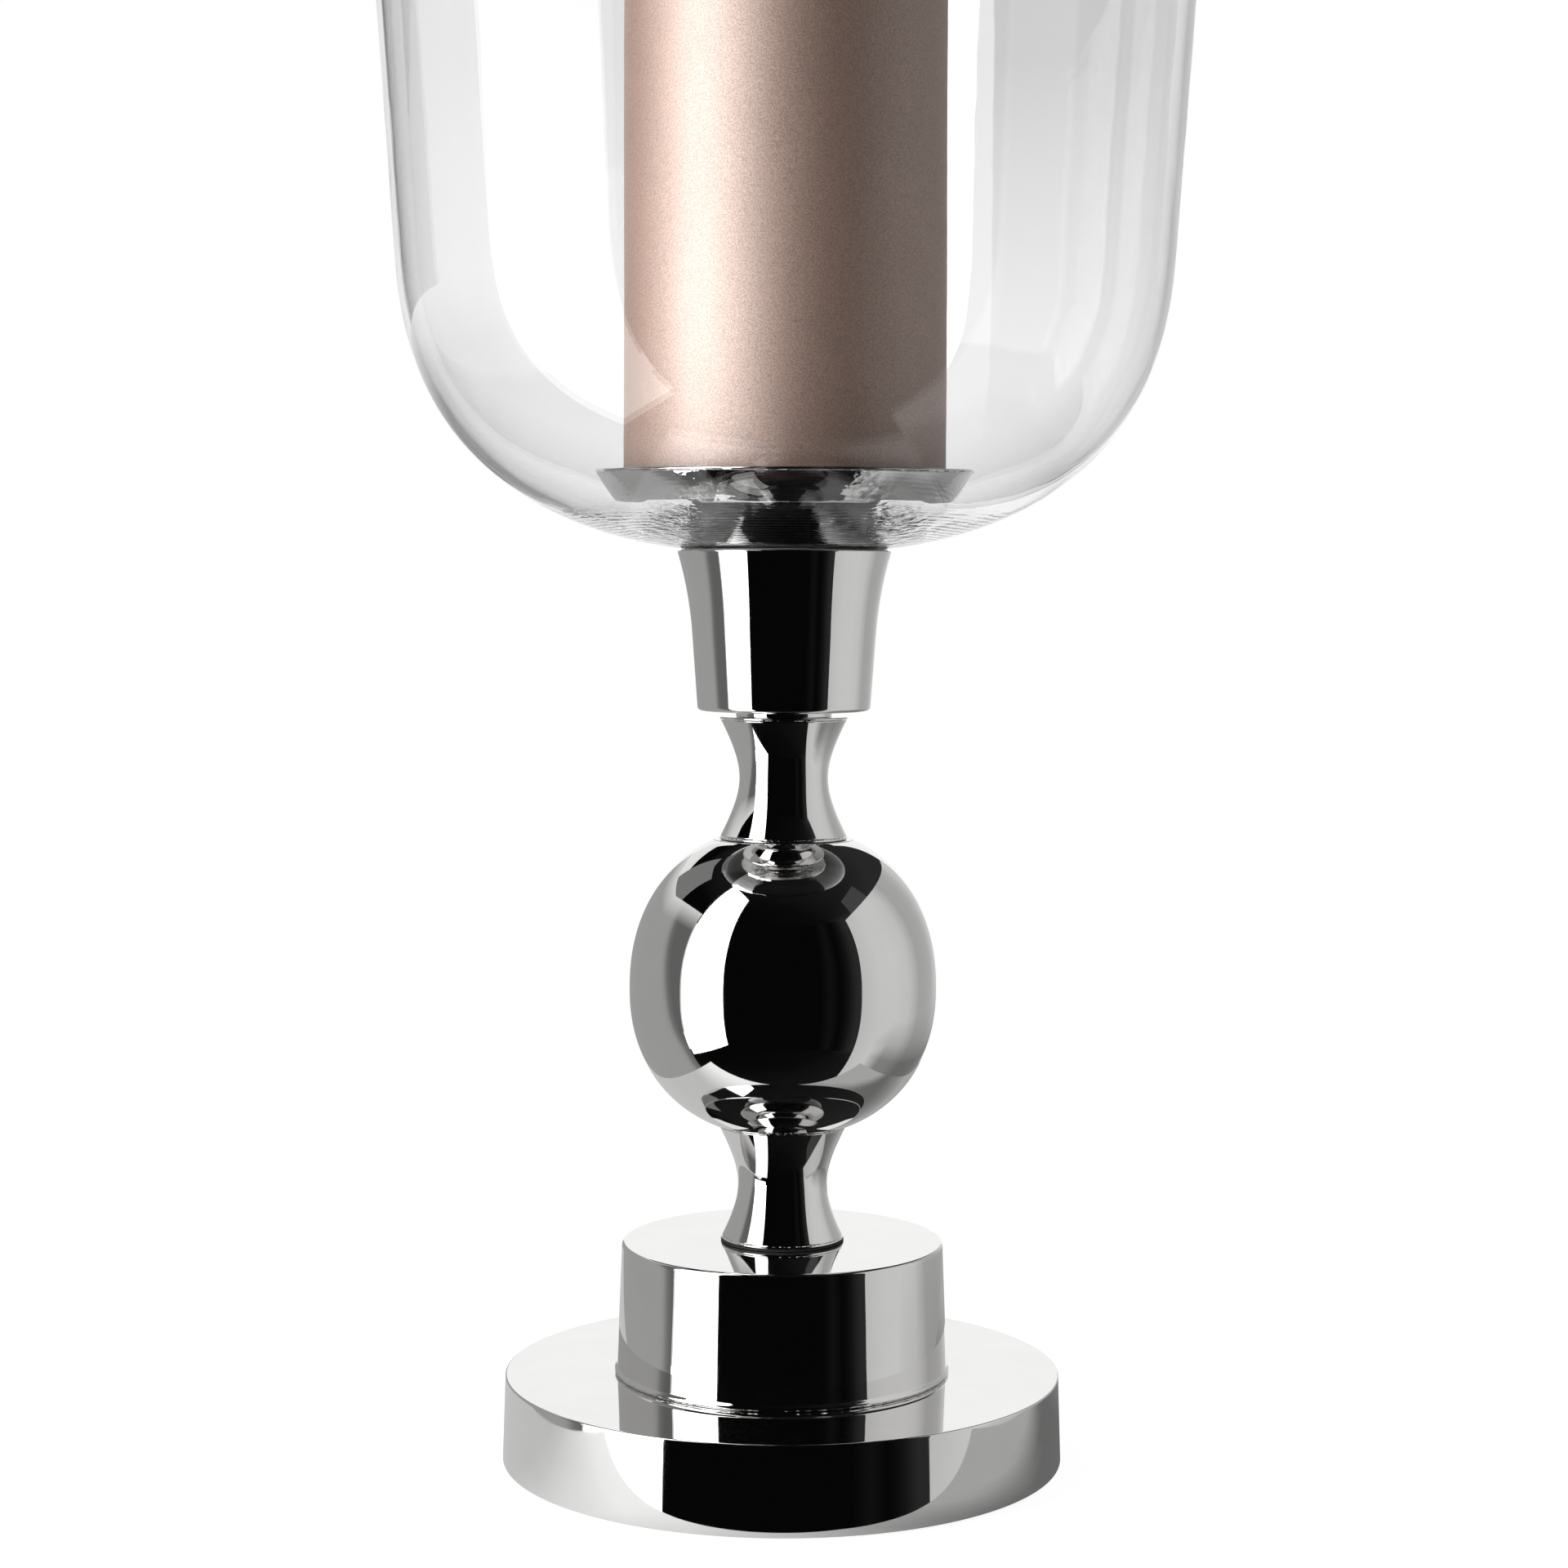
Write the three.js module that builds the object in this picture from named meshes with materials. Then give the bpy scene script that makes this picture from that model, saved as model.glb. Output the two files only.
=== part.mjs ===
// Hurricane candle holder: a turned metal stand, a blown glass bowl and a pillar candle.
// Millimetres, +Z up. The origin is on the table, under the middle of the felt pad.
import * as THREE from 'three';

// Driving dimensions: clearances
const seam = 0.1;
const fit = 0.3;
const glassGap = 0.2;

// Driving dimensions: felt pad and base disc
const feltRadius = 82;
const feltThickness = 1.6;
const feltRecess = 1.2;
const baseRadius = 87.2;
const baseTaper = 0.85;
const baseHeight = 26.7;
const baseEdge = 0.5;
const baseWall = 7;
const baseDeck = 9;
const baseBossRadius = 20;
const boltPocketRadius = 12;
const boltPocketDepth = 11.5;
const spigotHeight = 2;

// Driving dimensions: tie rod and its fasteners
const rodRadius = 4;
const rodChamfer = 0.7;
const rodEndClearance = 0.6;
const rodReach = 24;
const nutAcrossFlats = 13;
const nutHeight = 6.5;
const lockWasherRadius = 7;
const lockWasherThickness = 1.8;
const lockWasherSplit = 0.28;
const flatWasherRadius = 8.5;
const flatWasherThickness = 1.6;

// Driving dimensions: drum and its washer
const drumFootRadius = 51.6;
const drumTaper = 1.5;
const drumHeight = 40.6;
const drumWall = 5;
const drumDeck = 8;
const drumEdge = 0.6;
const drumBead = 0.7;
const drumBeadHeight = 2;
const fibreWasherRadius = 19.2;
const fibreWasherThickness = 0.6;

// Driving dimensions: spools
const spoolWaist = 13.9;
const spoolRoundness = 7;
const spoolFlareRatio = 0.6;
const spoolEdge = 0.4;
const lowerSpoolHeight = 36.3;
const lowerSpoolWaistHeight = 17.1;
const upperSpoolHeight = 38.1;
const upperSpoolWaistHeight = 19;
const collarRadius = 15;
const collarHeight = 1.6;

// Driving dimensions: ball
const ballRadius = 48.05;
const ballPower = 2.2;
const ballUpperHalf = 50.6;
const ballLowerHalf = 46.2;
const ballBelowEquator = 42.1;
const ballAboveEquator = 46.5;
const ballWall = 3;

// Driving dimensions: bowl holder and seat ring
const holderFootRadius = 27;
const holderTaper = 0.074;
const holderHeight = 49.7;
const holderFlareStart = 24.4;
const holderFlareRate = 0.0044;
const holderEdge = 0.5;
const holderRim = 1.1;
const seatStep = 0.9;
const seatWidth = 5.3;
const holderRecess = 4;
const seatRingThickness = 1.2;
const seatRingWidth = 5;

// Driving dimensions: glass bowl
const bowlRadius = 113.7;
const bowlShoulder = 93.2;
const bowlPower = 2.49;
const bowlFlare = 0.071;
const bowlHeight = 282;
const bowlWall = 2;
const bowlFloor = 3;
const bowlHole = 9;

// Driving dimensions: gasket, spacer, plate and stud
const gasketRadius = 27.5;
const gasketThickness = 1.25;
const gasketCollarDepth = 2.2;
const spacerFootRadius = 28;
const spacerTopRadius = 32;
const spacerHeight = 9.4;
const spacerGroove = 1.2;
const plateFloorRadius = 52.7;
const plateRimRadius = 59;
const plateDepth = 10;
const plateFloorThickness = 2.4;
const plateWall = 1.6;
const plateSideBulge = 0.45;
const studEngagement = 10;

// Driving dimensions: candle and wick
const candleRadius = 50;
const candleHeight = 200;
const candleEdge = 2.5;
const candleFootChamfer = 1;
const candleTopDip = 1.2;
const wickRadius = 1.4;
const wickLength = 14;
const wickBoreDepth = 8;

// Fineness of the turned surfaces
const wideSegments = 40;
const smallSegments = 24;
const outlineSteps = 10;
const holeSegments = 14;
const edgeSteps = 4;
const plateSideSteps = 6;
const wickSegments = 12;
const rimLean = 0.6;

// Heights of the stack, each from the one below it
const baseBottom = feltThickness + seam - feltRecess;
const baseTop = baseBottom + baseHeight;
const drumBottom = baseTop + seam;
const drumTop = drumBottom + drumHeight;
const fibreWasherBottom = drumTop + seam;
const lowerSpoolBottom = fibreWasherBottom + fibreWasherThickness + seam;
const ballBottom = lowerSpoolBottom + lowerSpoolHeight + seam;
const ballTop = ballBottom + ballBelowEquator + ballAboveEquator;
const upperSpoolBottom = ballTop + seam;
const collarTop = upperSpoolBottom + upperSpoolHeight + collarHeight;
const holderBottom = collarTop + seam;
const holderTop = holderBottom + holderHeight;
const boltPocketTop = baseBottom + feltRecess + boltPocketDepth;
const flatWasherBottom = boltPocketTop - seam - flatWasherThickness;
const lockWasherBottom = flatWasherBottom - seam - lockWasherThickness;
const nutBottom = lockWasherBottom - seam - nutHeight;
const boreRadius = rodRadius + fit;

// Seat of the bowl: the ring lies on the step of the holder's rim
const holderRimRadius = holderRadius(holderHeight);
const seatRadius = holderRimRadius - holderRim;
const seatFloor = holderTop - seatStep;
const seatRingOuter = seatRadius - fit;
const seatRingInner = seatRingOuter - seatRingWidth;
const bowlBottom = seatFloor + seam + seatRingThickness + glassGap - bowlRise(seatRingOuter, 0);
const gasketTop = bowlBottom + bowlRise(gasketRadius, bowlFloor) + glassGap + gasketThickness;
const spacerBottom = gasketTop + seam;
const plateBottom = spacerBottom + spacerHeight + seam;
const candleBottom = plateBottom + plateFloorThickness + seam;
const recessFloor = seatFloor - holderRecess;

// Finishes
const polishedNickel = finish(0xd9d8d5, 1, 0.06);
const steel = finish(0xa9aaab, 1, 0.35);
const fibre = finish(0x151515, 0, 0.7);
const silicone = finish(0xd6d8d8, 0, 0.4);
const felt = finish(0x1d1d1f, 0, 0.95);
const clearGlass = finish(0xf3f6f6, 0, 0.02);
clearGlass.transparent = true;
clearGlass.opacity = 0.3;
const roseLacquer = finish(0xc9a998, 0.6, 0.4);
const cotton = finish(0xe8e2d2, 0, 0.9);

// A material of one colour, metalness and roughness
function finish(colour, metalness, roughness) {
  return new THREE.MeshStandardMaterial({ color: colour, metalness, roughness });
}

// A solid of revolution about Z. The points are [radius, height] pairs that run
// outwards along the bottom, up the outside and back along the top. A profile
// that doesn't start on the axis is closed on itself, which leaves a bore.
function turned(name, profile, bottom, material, segments) {
  const points = profile.map(([radius, height]) => new THREE.Vector2(radius, height));
  const startsOnAxis = profile[0][0] === 0;
  if (!startsOnAxis) points.push(points[0].clone());
  const geometry = new THREE.LatheGeometry(points, segments);
  geometry.rotateX(Math.PI / 2);
  return placed(name, geometry, bottom, material);
}

// A named mesh, raised to its height
function placed(name, geometry, bottom, material) {
  const mesh = new THREE.Mesh(geometry, material);
  mesh.name = name;
  mesh.position.z = bottom;
  return mesh;
}

// Points of a curve given by a function of a share from 0 to 1
function along(steps, point) {
  return Array.from({ length: steps + 1 }, (_, step) => point(step / steps));
}

// Radius of a spool at a height above or below its waist: a hyperbola
function spoolRadius(fromWaist) {
  return spoolWaist + Math.hypot(spoolRoundness, spoolFlareRatio * fromWaist) - spoolRoundness;
}

// Radius of the ball at a height above or below its equator: a superellipse
function ballSurface(fromEquator, inset) {
  const half = (fromEquator > 0 ? ballUpperHalf : ballLowerHalf) - inset;
  const share = Math.min(Math.abs(fromEquator) / half, 1);
  return (ballRadius - inset) * Math.pow(1 - Math.pow(share, ballPower), 1 / ballPower);
}

// Radius of the bowl holder at a height above its foot: a cone that flares
function holderRadius(height) {
  const pastStart = Math.max(height - holderFlareStart, 0);
  return holderFootRadius + holderTaper * height + holderFlareRate * pastStart * pastStart;
}

// Height of the bowl's outer surface, or of a surface inset from it, above its
// lowest point, at a radius near the middle
function bowlRise(radius, inset) {
  const share = Math.min(radius / (bowlRadius - bowlShare(inset)), 1);
  const shoulder = bowlShoulder - inset;
  return inset + shoulder * (1 - Math.pow(1 - Math.pow(share, bowlPower), 1 / bowlPower));
}

// Thickness that the wall has where the floor has the given one
function bowlShare(inset) {
  return (inset * bowlWall) / bowlFloor;
}

// Points of one surface of the bowl from a radius near the middle to the rim
function bowlSurface(startRadius, inset, rimDrop) {
  const radius = bowlRadius - bowlShare(inset);
  const shoulder = bowlShoulder - inset;
  const startAngle = Math.asin(Math.pow(startRadius / radius, bowlPower / 2));
  const round = along(outlineSteps + 4, (share) => {
    const angle = startAngle + share * (Math.PI / 2 - startAngle);
    const height = inset + shoulder * (1 - Math.pow(Math.cos(angle), 2 / bowlPower));
    const base = radius * Math.pow(Math.sin(angle), 2 / bowlPower);
    return [base + bowlFlare * (height - bowlRise(startRadius, inset)), height];
  });
  const flareFrom = bowlRise(startRadius, inset);
  const wallStart = bowlShoulder;
  const wall = along(3, (share) => {
    const height = wallStart + share * (bowlHeight - rimDrop - wallStart);
    return [radius + bowlFlare * (height - flareFrom), height];
  });
  return [...round, ...wall.slice(1)];
}

// Felt pad, glued into the recess under the base
function feltPad() {
  const profile = [
    [0, 0],
    [feltRadius, 0],
    [feltRadius, feltThickness],
    [0, feltThickness],
  ];
  return turned('felt_pad', profile, 0, felt, wideSegments);
}

// Base disc: a cast disc, hollow below round a boss for the tie rod
function baseDisc() {
  const hollowTop = baseHeight - baseDeck;
  const topRadius = baseRadius - baseTaper;
  const spigotRadius = drumFootRadius - drumWall - fit;
  const profile = [
    [boreRadius, feltRecess + boltPocketDepth],
    [boltPocketRadius, feltRecess + boltPocketDepth],
    [boltPocketRadius, feltRecess],
    [baseBossRadius, feltRecess],
    [baseBossRadius, hollowTop],
    [baseRadius - baseWall - baseTaper, hollowTop],
    [baseRadius - baseWall, feltRecess],
    [feltRadius + fit, feltRecess],
    [feltRadius + fit, 0],
    [baseRadius - baseEdge, 0],
    [baseRadius, baseEdge],
    [topRadius, baseHeight - baseEdge],
    [topRadius - baseEdge, baseHeight],
    [spigotRadius, baseHeight],
    [spigotRadius, baseHeight + spigotHeight],
    [boreRadius, baseHeight + spigotHeight],
  ];
  return turned('base_disc', profile, baseBottom, polishedNickel, wideSegments);
}

// Tie rod that clamps the stand together, screwed into the bowl holder
function tieRod() {
  const bottom = feltThickness + rodEndClearance;
  const length = holderBottom + rodReach - bottom;
  return turned('tie_rod', rodProfile(length), bottom, steel, smallSegments);
}

// Profile of a rod with chamfered ends
function rodProfile(length) {
  return [
    [0, 0],
    [rodRadius - rodChamfer, 0],
    [rodRadius, rodChamfer],
    [rodRadius, length - rodChamfer],
    [rodRadius - rodChamfer, length],
    [0, length],
  ];
}

// Hexagon nut under the base
function rodNut() {
  const corner = nutAcrossFlats / Math.sqrt(3);
  const hexagon = new THREE.Shape(along(5, (share) => {
    const angle = share * (5 / 6) * 2 * Math.PI;
    return new THREE.Vector2(corner * Math.cos(angle), corner * Math.sin(angle));
  }));
  hexagon.holes.push(new THREE.Path().absarc(0, 0, boreRadius, 0, 2 * Math.PI, true));
  return placed('rod_nut', slab(hexagon, nutHeight), nutBottom, steel);
}

// Split spring washer: a ring with a narrow gap
function lockWasher() {
  const ring = new THREE.Shape();
  const start = lockWasherSplit / 2;
  const end = 2 * Math.PI - start;
  ring.absarc(0, 0, lockWasherRadius, start, end, false);
  ring.absarc(0, 0, boreRadius, end, start, true);
  return placed('lock_washer', slab(ring, lockWasherThickness), lockWasherBottom, steel);
}

// A flat outline with thickness
function slab(outline, depth) {
  return new THREE.ExtrudeGeometry(outline, { depth, bevelEnabled: false, curveSegments: holeSegments });
}

// Flat ring such as a plain washer
function ringWasher(name, radius, thickness, bottom, material) {
  const profile = [
    [boreRadius, 0],
    [radius, 0],
    [radius, thickness],
    [boreRadius, thickness],
  ];
  return turned(name, profile, bottom, material, smallSegments);
}

// Drum: a tapered shell with a bead round its foot, centred by the base's spigot
function drum() {
  const topRadius = drumFootRadius - drumTaper;
  const innerRadius = drumFootRadius - drumWall;
  const hollowTop = drumHeight - drumDeck;
  const beadRadius = drumFootRadius + drumBead;
  const profile = [
    [innerRadius, 0],
    [beadRadius - drumEdge, 0],
    [beadRadius, drumEdge],
    [beadRadius, drumBeadHeight - drumEdge],
    [drumFootRadius, drumBeadHeight],
    [topRadius, drumHeight - drumEdge],
    [topRadius - drumEdge, drumHeight],
    [boreRadius, drumHeight],
    [boreRadius, hollowTop],
    [innerRadius - drumTaper, hollowTop],
  ];
  return turned('drum', profile, drumBottom, polishedNickel, wideSegments);
}

// Spool: a waisted neck with a bore. A collar may stand on its top
function spool(name, height, waistHeight, collar, bottom) {
  const side = along(outlineSteps, (share) => {
    const level = spoolEdge + share * (height - 2 * spoolEdge);
    return [spoolRadius(level - waistHeight), level];
  });
  const footRadius = spoolRadius(waistHeight) - spoolEdge;
  const headRadius = spoolRadius(height - waistHeight) - spoolEdge;
  const top = collar > 0
    ? [[collarRadius, height + collar], [boreRadius, height + collar]]
    : [[boreRadius, height]];
  const profile = [[boreRadius, 0], [footRadius, 0], ...side, [headRadius, height], ...top];
  return turned(name, profile, bottom, polishedNickel, smallSegments);
}

// Ball: a spun shell with a flat at each pole and a bore for the rod
function ball() {
  const bottomHeight = -ballBelowEquator;
  const topHeight = ballAboveEquator;
  const skin = (inset, from, to, steps) => along(steps, (share) => {
    const height = (from + to) / 2 - ((to - from) / 2) * Math.cos(Math.PI * share);
    return [ballSurface(height, inset), height];
  });
  const outside = skin(0, bottomHeight, topHeight, outlineSteps + 4);
  const inside = skin(ballWall, topHeight - ballWall, bottomHeight + ballWall, outlineSteps);
  const profile = [
    [boreRadius, bottomHeight],
    ...outside,
    [boreRadius, topHeight],
    [boreRadius, topHeight - ballWall],
    ...inside,
    [boreRadius, bottomHeight + ballWall],
  ];
  return turned('ball', profile, ballBottom + ballBelowEquator, polishedNickel, wideSegments);
}

// Bowl holder: a flared cast piece, with a step for the seat ring and a recess
function bowlHolder() {
  const side = along(outlineSteps, (share) => {
    const level = holderEdge + share * (holderHeight - 2 * holderEdge);
    return [holderRadius(level), level];
  });
  const stepHeight = holderHeight - seatStep;
  const profile = [
    [boreRadius, 0],
    [holderFootRadius - holderEdge, 0],
    ...side,
    [holderRimRadius - holderEdge, holderHeight],
    [seatRadius, holderHeight],
    [seatRadius, stepHeight],
    [seatRadius - seatWidth - fit, stepHeight],
    [seatRadius - seatWidth - fit, stepHeight - holderRecess],
    [boreRadius, stepHeight - holderRecess],
  ];
  return turned('bowl_holder', profile, holderBottom, polishedNickel, wideSegments);
}

// Seat ring: silicone, its top following the underside of the glass
function seatRing() {
  const bottom = seatFloor + seam;
  const under = (radius) => bowlBottom + bowlRise(radius, 0) - glassGap - bottom;
  const profile = [
    [seatRingInner, 0],
    [seatRingOuter, 0],
    [seatRingOuter, under(seatRingOuter)],
    [seatRingInner, under(seatRingInner)],
  ];
  return turned('seat_ring', profile, bottom, silicone, wideSegments);
}

// Glass bowl: blown glass with a thick floor, a hole and a melted rim
function glassBowl() {
  const rimRise = bowlWall / 2;
  const outside = bowlSurface(bowlHole, 0, rimRise);
  const inside = bowlSurface(bowlHole, bowlFloor, rimRise);
  const rimRadius = outside[outside.length - 1][0] - rimRise;
  const rim = [-rimLean, 0, rimLean].map((lean) => [
    rimRadius - rimRise * Math.sin(lean),
    bowlHeight - rimRise + rimRise * Math.cos(lean),
  ]);
  const profile = [...outside, ...rim, ...inside.reverse()];
  return turned('glass_bowl', profile, bowlBottom, clearGlass, wideSegments);
}

// Gasket inside the bowl, with a collar that keeps the stud off the glass
function glassGasket() {
  const level = (radius) => bowlBottom + bowlRise(radius, bowlFloor) + glassGap - gasketTop;
  const sleeveRadius = bowlHole - fit;
  const middleRadius = (sleeveRadius + gasketRadius) / 2;
  const sleeveBottom = level(bowlHole) - gasketCollarDepth;
  const profile = [
    [boreRadius, sleeveBottom],
    [sleeveRadius, sleeveBottom],
    [sleeveRadius, level(bowlHole)],
    [middleRadius, level(middleRadius)],
    [gasketRadius, level(gasketRadius)],
    [gasketRadius, 0],
    [boreRadius, 0],
  ];
  return turned('glass_gasket', profile, gasketTop, fibre, smallSegments);
}

// Black spacer between gasket and plate, wider at its top, with a groove round it
function plateSpacer() {
  const middle = spacerHeight / 2;
  const side = (level) => spacerFootRadius + ((spacerTopRadius - spacerFootRadius) * level) / spacerHeight;
  const profile = [
    [boreRadius, 0],
    [spacerFootRadius, 0],
    [side(middle - spacerGroove), middle - spacerGroove],
    [side(middle) - spacerGroove, middle],
    [side(middle + spacerGroove), middle + spacerGroove],
    [spacerTopRadius, spacerHeight],
    [boreRadius, spacerHeight],
  ];
  return turned('plate_spacer', profile, spacerBottom, fibre, wideSegments);
}

// Candle plate: a shallow spun dish with bulging sides
function candlePlate() {
  const side = (inset, from) => along(plateSideSteps, (share) => {
    const level = from + share * (plateDepth - from);
    const rise = level / plateDepth;
    const bulge = 4 * plateSideBulge * rise * (1 - rise);
    return [plateFloorRadius + (plateRimRadius - plateFloorRadius) * rise + bulge - inset, level];
  });
  const profile = [
    [0, 0],
    ...side(0, 0),
    ...side(plateWall, plateFloorThickness).reverse(),
    [0, plateFloorThickness],
  ];
  return turned('candle_plate', profile, plateBottom, polishedNickel, wideSegments);
}

// Stud welded under the plate, which screws into the bowl holder
function plateStud() {
  const top = plateBottom - seam;
  const bottom = recessFloor - studEngagement;
  return turned('plate_stud', rodProfile(top - bottom), bottom, steel, smallSegments);
}

// Pillar candle with a rounded top edge and a bore for the wick
function candle() {
  const top = candleHeight;
  const edge = along(edgeSteps, (share) => {
    const angle = share * (Math.PI / 2);
    return [
      candleRadius - candleEdge + candleEdge * Math.cos(angle),
      top - candleEdge + candleEdge * Math.sin(angle),
    ];
  });
  const profile = [
    [0, 0],
    [candleRadius - candleFootChamfer, 0],
    [candleRadius, candleFootChamfer],
    ...edge,
    [wickRadius + fit, top - candleTopDip],
    [wickRadius + fit, top - candleTopDip - wickBoreDepth],
    [0, top - candleTopDip - wickBoreDepth],
  ];
  return turned('candle', profile, candleBottom, roseLacquer, wideSegments);
}

// Wick that stands in the candle's bore
function wick() {
  const bottom = candleBottom + candleHeight - candleTopDip - wickBoreDepth + seam;
  const length = wickBoreDepth + wickLength;
  const profile = [
    [0, 0],
    [wickRadius, 0],
    [wickRadius, length],
    [0, length],
  ];
  return turned('wick', profile, bottom, cotton, wickSegments);
}

// The stand, clamped by the tie rod
const stand = new THREE.Group();
stand.add(
  feltPad(),
  baseDisc(),
  rodNut(),
  lockWasher(),
  ringWasher('flat_washer', flatWasherRadius, flatWasherThickness, flatWasherBottom, steel),
  tieRod(),
  drum(),
  ringWasher('drum_washer', fibreWasherRadius, fibreWasherThickness, fibreWasherBottom, fibre),
  spool('lower_spool', lowerSpoolHeight, lowerSpoolWaistHeight, 0, lowerSpoolBottom),
  ball(),
  spool('upper_spool', upperSpoolHeight, upperSpoolWaistHeight, collarHeight, upperSpoolBottom),
  bowlHolder(),
  seatRing(),
);

// The bowl and what is screwed down inside it
const bowlGroup = new THREE.Group();
bowlGroup.add(glassBowl(), glassGasket(), plateSpacer(), candlePlate(), plateStud());

// The candle, which stands on the plate
const candleGroup = new THREE.Group();
candleGroup.add(candle(), wick());

const candleHolder = new THREE.Group();
candleHolder.add(stand, bowlGroup, candleGroup);

export default candleHolder;
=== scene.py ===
"""Hurricane candle holder: a polished metal stand, a blown glass bowl and a pillar candle.

The sections follow the object as it is put together, from the felt under the base to the wick.
Lengths are written in millimetres and turned into metres where a mesh is made.
"""

import math

import bpy
import numpy as np
from mathutils import Matrix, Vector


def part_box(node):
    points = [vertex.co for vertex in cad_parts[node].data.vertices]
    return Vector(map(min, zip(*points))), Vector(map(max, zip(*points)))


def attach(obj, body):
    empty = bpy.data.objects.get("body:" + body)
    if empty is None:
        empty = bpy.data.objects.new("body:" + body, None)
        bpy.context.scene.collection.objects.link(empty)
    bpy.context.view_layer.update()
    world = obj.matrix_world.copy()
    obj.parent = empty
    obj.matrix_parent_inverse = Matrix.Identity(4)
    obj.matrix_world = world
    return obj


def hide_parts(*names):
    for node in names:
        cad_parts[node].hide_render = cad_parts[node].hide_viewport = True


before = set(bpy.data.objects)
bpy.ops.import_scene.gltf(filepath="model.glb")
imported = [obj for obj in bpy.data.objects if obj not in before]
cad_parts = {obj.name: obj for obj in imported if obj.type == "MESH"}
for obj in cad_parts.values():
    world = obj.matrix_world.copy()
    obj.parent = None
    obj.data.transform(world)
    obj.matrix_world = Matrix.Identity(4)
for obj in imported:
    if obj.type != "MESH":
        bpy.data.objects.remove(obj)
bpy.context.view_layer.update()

# Camera: a long lens just below the middle of the bowl, tipped down by two degrees and
# leaning by a fifth of a degree, with the picture's middle moved a little up the sensor
MM = 0.001
camera_distance = 939.4 * MM
camera_height = 269.5 * MM
camera_tip = math.radians(2.09)
camera_lean = math.radians(0.19)
camera_data = bpy.data.cameras.new("camera")
camera_data.lens = 69.33
camera_data.sensor_width = 36
camera_data.shift_y = -0.05
camera_data.clip_start = 0.05
camera = bpy.data.objects.new("camera", camera_data)
camera.matrix_world = (
    Matrix.Translation((0, -camera_distance, camera_height))
    @ Matrix.Rotation(math.pi / 2 - camera_tip, 4, "X")
    @ Matrix.Rotation(camera_lean, 4, "Z")
)
scene = bpy.context.scene
scene.collection.objects.link(camera)
scene.camera = camera
scene.view_settings.view_transform = "Standard"
scene.cycles.use_denoising = True

# Studio: a white room, as bright as paper to the camera and in what metal and glass show of
# it, while matt surfaces get a plain, lower level of light from it
room_level = 0.42
world = bpy.data.worlds.new("studio")
scene.world = world
world.use_nodes = True
room_nodes = world.node_tree.nodes
room_links = world.node_tree.links


def feed(links, socket, value):
    """Gives a socket a number or another node's output."""
    if isinstance(value, bpy.types.NodeSocket):
        links.new(value, socket)
    else:
        socket.default_value = value


def maths(nodes, links, operation, *values):
    """Output of a Math node on the given numbers or other nodes' outputs."""
    result = nodes.new("ShaderNodeMath")
    result.operation = operation
    for socket, value in zip(result.inputs, values):
        feed(links, socket, value)
    return result.outputs[0]


def between(nodes, links, value, low, high, from_low=0.3, from_high=0.7):
    """Carries a value from one range to another, held at its ends."""
    span = nodes.new("ShaderNodeMapRange")
    span.inputs["From Min"].default_value = from_low
    span.inputs["From Max"].default_value = from_high
    feed(links, span.inputs["To Min"], low)
    feed(links, span.inputs["To Max"], high)
    links.new(value, span.inputs["Value"])
    return span.outputs[0]


def deeper_than(nodes, links, kind, limit=0):
    """1 for rays that surfaces have sent on in one way more than so many times, 0 for others.
    The ways are Diffuse, Glossy and Transmission."""
    path = nodes.new("ShaderNodeLightPath")
    return maths(nodes, links, "GREATER_THAN", path.outputs[f"{kind} Depth"], limit)


def seen_directly(nodes, links):
    """1 for rays that only metal and glass have sent on, 0 for rays off a matt surface."""
    return maths(nodes, links, "SUBTRACT", 1, deeper_than(nodes, links, "Diffuse"))


room_seen = seen_directly(room_nodes, room_links)
room_strength = between(room_nodes, room_links, room_seen, room_level, 1, 0, 1)
room_nodes["Background"].inputs["Color"].default_value = (1, 1, 1, 1)
room_links.new(room_strength, room_nodes["Background"].inputs["Strength"])


def stage_sheet(name, corners, faces, material, shown):
    """A sheet of the studio through the given corners, in millimetres, and no part of the object.
    shown names the rays that meet it: camera, diffuse, glossy, transmission or shadow."""
    mesh = bpy.data.meshes.new(name)
    mesh.from_pydata((np.asarray(corners, float) * MM).tolist(), [], faces)
    mesh.materials.append(material)
    sheet = bpy.data.objects.new(name, mesh)
    scene.collection.objects.link(sheet)
    sheet.visible_camera = "camera" in shown
    sheet.visible_diffuse = "diffuse" in shown
    sheet.visible_glossy = "glossy" in shown
    sheet.visible_transmission = "transmission" in shown
    sheet.visible_shadow = "shadow" in shown
    return sheet


def glow(name, strength):
    """A material that only gives off white light."""
    material = bpy.data.materials.new(name)
    material.use_nodes = True
    nodes = material.node_tree.nodes
    nodes.clear()
    emission = nodes.new("ShaderNodeEmission")
    emission.inputs["Strength"].default_value = strength
    output = nodes.new("ShaderNodeOutputMaterial")
    material.node_tree.links.new(emission.outputs[0], output.inputs["Surface"])
    return material


def split_rays(material, share, before, after):
    """Shows one shader to rays whose share is 0 and the other to rays whose share is 1.
    Where the shader is None, the rays pass through."""
    nodes, links = material.node_tree.nodes, material.node_tree.links
    choice = nodes.new("ShaderNodeMixShader")
    links.new(share, choice.inputs[0])
    for slot, shader in ((1, before), (2, after)):
        shader = shader or nodes.new("ShaderNodeBsdfTransparent").outputs[0]
        links.new(shader, choice.inputs[slot])
    links.new(choice.outputs[0], nodes["Material Output"].inputs["Surface"])


# Floor: white paper. Most of its white is its own, and the rest is the studio's light on it,
# so that the shadow of the stand stays on it. What metal shows below it is the table
paper_own = 0.88
paper_lit = 0.35
paper_plain = 0.8
floor_half = 6000
floor_drop = 0.1


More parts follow.
